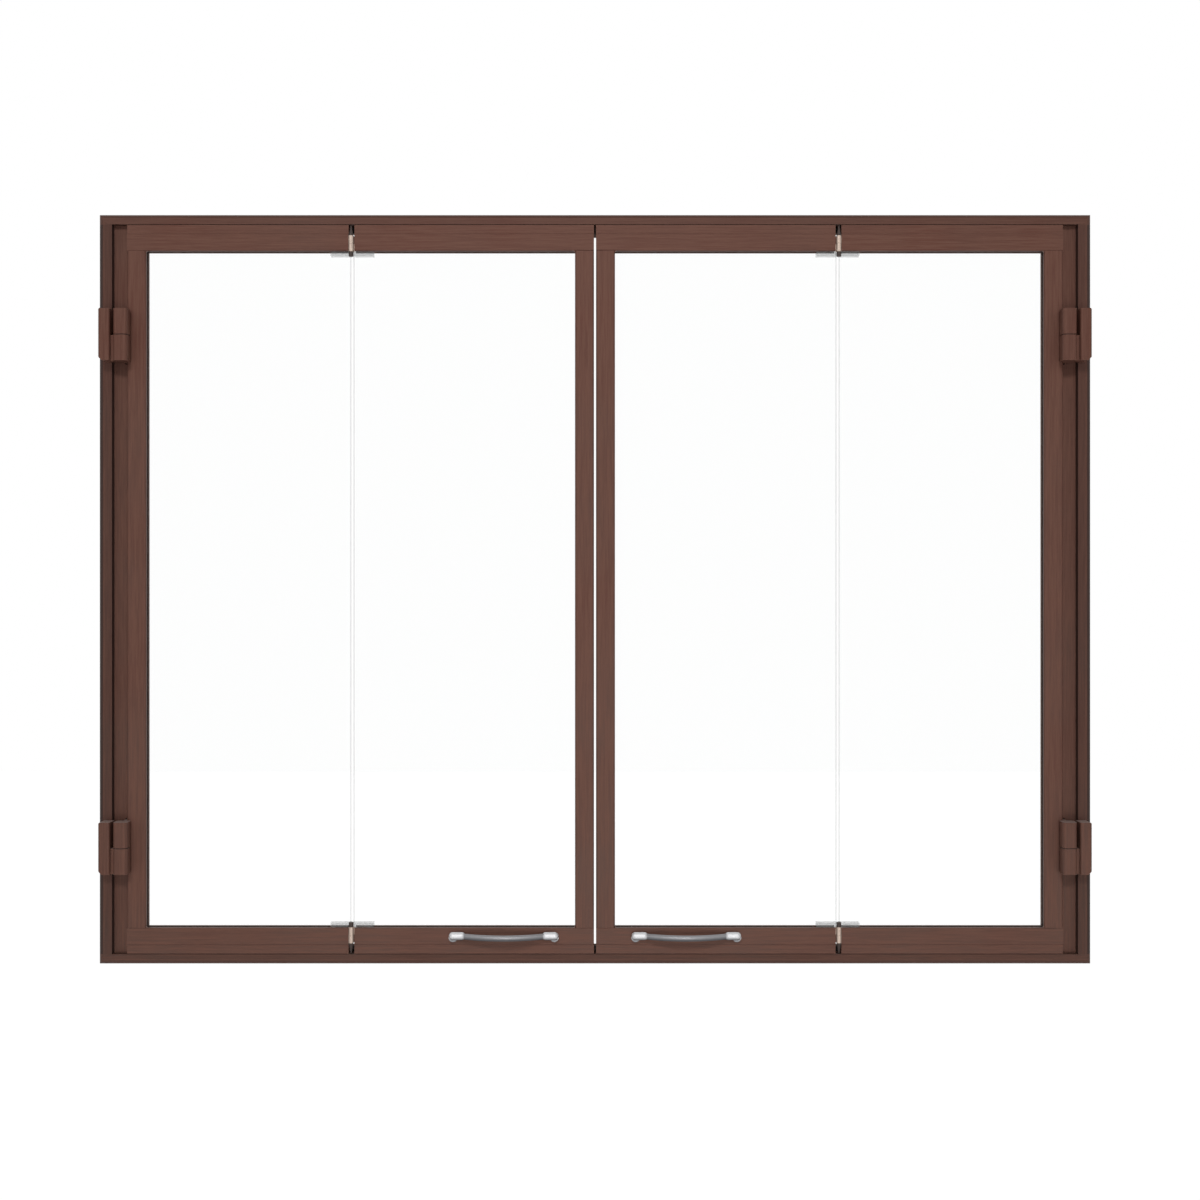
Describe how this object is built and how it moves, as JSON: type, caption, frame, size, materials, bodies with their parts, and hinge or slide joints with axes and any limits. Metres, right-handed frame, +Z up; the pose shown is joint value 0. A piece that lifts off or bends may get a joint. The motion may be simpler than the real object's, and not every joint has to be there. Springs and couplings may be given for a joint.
{
  "type": "fireplace glass door",
  "caption": "Bronze-painted steel fireplace door frame with trackless folding glass doors on block hinges, bow handles and a magnetic catch.",
  "frame": {"origin": "centre of the four mounting holes, on the flat mounting face at the back of the frame", "axes": "+X to the right seen from the room, +Y from the room into the fireplace, +Z up"},
  "size_m": [0.945, 0.0377, 0.714],
  "materials": {
    "bronze_paint": "satin, brushed, dark reddish bronze",
    "clear_glass": "clear tempered, polished edges",
    "stop_gasket": "woven flat tape",
    "glazing_liner": "matt",
    "clip_silicone": "smoke-grey heat-proof silicone, slightly translucent",
    "zinc_steel": "zinc plated",
    "nickel_handle": "satin nickel",
    "catch_body": "matt heat-resisting plastic"
  },
  "bodies": {
    "frame": {"frame_top_bar": "bronze_paint", "frame_bottom_bar": "bronze_paint", "frame_left_bar": "bronze_paint", "frame_right_bar": "bronze_paint", "stop_strip_top": "bronze_paint", "stop_strip_bottom": "bronze_paint", "hinge_base_left_upper": "bronze_paint", "hinge_base_left_lower": "bronze_paint", "hinge_base_right_upper": "bronze_paint", "hinge_base_right_lower": "bronze_paint", "gasket_top": "stop_gasket", "gasket_bottom": "stop_gasket", "side_gaskets": "stop_gasket", "frame_screws": "zinc_steel", "hinge_pins": "zinc_steel", "hinge_washers": "zinc_steel", "catch_housing": "catch_body", "catch_magnets": "zinc_steel"},
    "left_outer_panel": {"left_outer_stile": "bronze_paint", "left_outer_top_rail": "bronze_paint", "left_outer_bottom_rail": "bronze_paint", "left_outer_glass": "clear_glass", "left_outer_glazing": "glazing_liner", "left_outer_clips": "clip_silicone", "left_outer_fold_leaves": "zinc_steel", "left_hinge_arm_upper": "bronze_paint", "left_hinge_arm_lower": "bronze_paint", "left_hinge_arm_screws": "zinc_steel"},
    "left_inner_panel": {"left_inner_stile": "bronze_paint", "left_inner_top_rail": "bronze_paint", "left_inner_bottom_rail": "bronze_paint", "left_inner_glass": "clear_glass", "left_inner_glazing": "glazing_liner", "left_inner_clips": "clip_silicone", "left_inner_fold_leaves": "zinc_steel", "left_fold_pins": "zinc_steel", "left_handle": "nickel_handle", "left_handle_screws": "zinc_steel", "left_strike": "zinc_steel"},
    "right_outer_panel": {"right_outer_stile": "bronze_paint", "right_outer_top_rail": "bronze_paint", "right_outer_bottom_rail": "bronze_paint", "right_outer_glass": "clear_glass", "right_outer_glazing": "glazing_liner", "right_outer_clips": "clip_silicone", "right_outer_fold_leaves": "zinc_steel", "right_hinge_arm_upper": "bronze_paint", "right_hinge_arm_lower": "bronze_paint", "right_hinge_arm_screws": "zinc_steel"},
    "right_inner_panel": {"right_inner_stile": "bronze_paint", "right_inner_top_rail": "bronze_paint", "right_inner_bottom_rail": "bronze_paint", "right_inner_glass": "clear_glass", "right_inner_glazing": "glazing_liner", "right_inner_clips": "clip_silicone", "right_inner_fold_leaves": "zinc_steel", "right_fold_pins": "zinc_steel", "right_handle": "nickel_handle", "right_handle_screws": "zinc_steel", "right_strike": "zinc_steel"}
  },
  "joints": [
    {"name": "left_door_swing", "type": "hinge", "parent": "frame", "child": "left_outer_panel", "pos_m": [-0.4469, -0.0285, 0], "axis": [0, 0, -1], "range_deg": [0, 105]},
    {"name": "left_door_fold", "type": "hinge", "parent": "left_outer_panel", "child": "left_inner_panel", "pos_m": [-0.2315, -0.0212, 0], "axis": [0, 0, -1], "range_deg": [0, 160]},
    {"name": "right_door_swing", "type": "hinge", "parent": "frame", "child": "right_outer_panel", "pos_m": [0.4469, -0.0285, 0], "axis": [0, 0, 1], "range_deg": [0, 105]},
    {"name": "right_door_fold", "type": "hinge", "parent": "right_outer_panel", "child": "right_inner_panel", "pos_m": [0.2315, -0.0212, 0], "axis": [0, 0, 1], "range_deg": [0, 160]}
  ]
}
